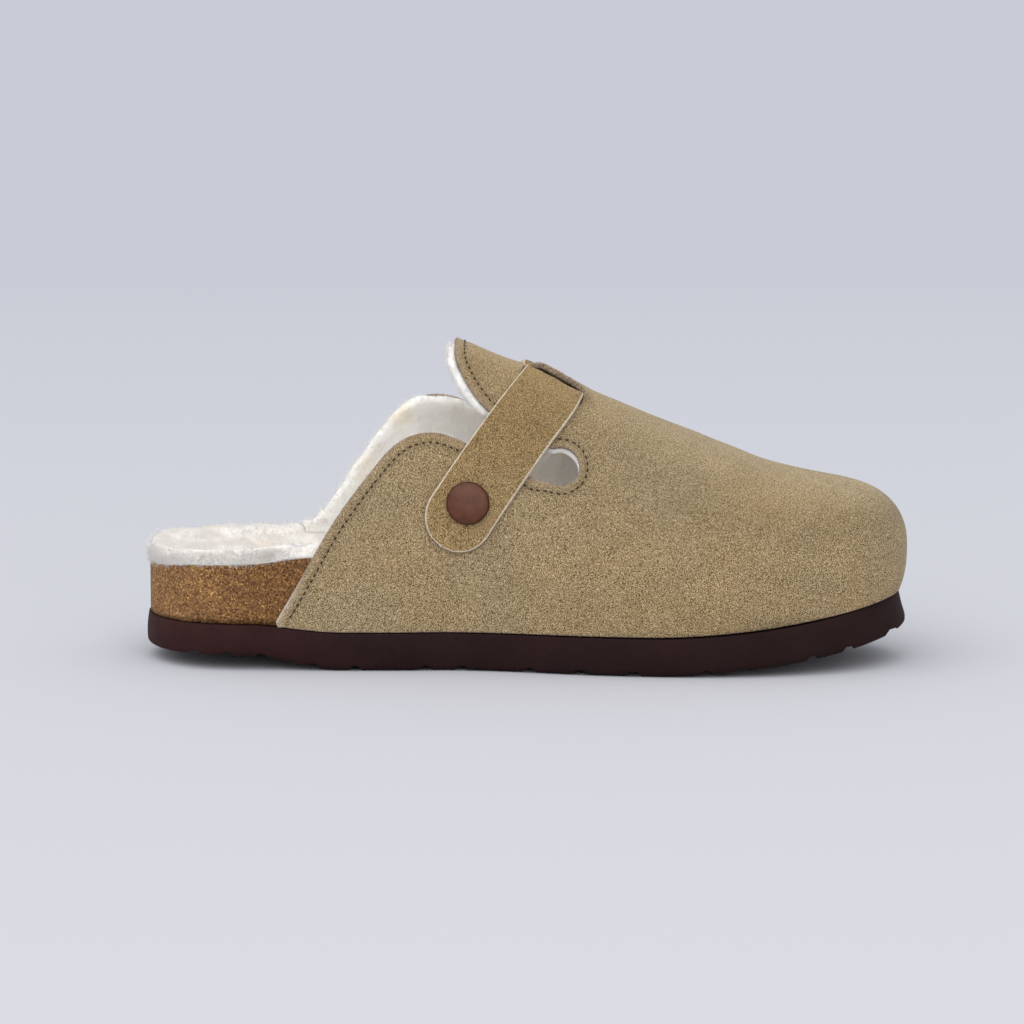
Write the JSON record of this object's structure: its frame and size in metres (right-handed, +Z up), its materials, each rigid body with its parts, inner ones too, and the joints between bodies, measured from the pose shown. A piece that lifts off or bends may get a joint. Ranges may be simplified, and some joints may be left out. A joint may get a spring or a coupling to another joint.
{
  "type": "clog slipper",
  "caption": "Backless suede clog slipper with a cork footbed, pile insole, foam outsole with toe spring, side notches and a riveted instep strap.",
  "frame": {"origin": "on the floor, below the middle of the shoe's outline", "axes": "+X towards the toe, +Y towards the outer (lateral) side of the left foot, +Z up"},
  "size_m": [0.264, 0.0978, 0.1106],
  "materials": {
    "foam": "dark brown closed-cell foam, matt with a faint sheen",
    "cork": "agglomerated cork, brown with orange and dark grains, matt",
    "pile": "cream curly pile",
    "suede": "taupe suede with a short nap",
    "strap_suede": "warmer taupe suede with pale cut edges",
    "rivet": "satin brown lacquered cap"
  },
  "bodies": {
    "root": {"outsole": "foam", "footbed": "cork", "insole": "pile", "upper": "suede", "strap": "strap_suede", "rivet_medial": "rivet", "rivet_lateral": "rivet"}
  },
  "joints": []
}
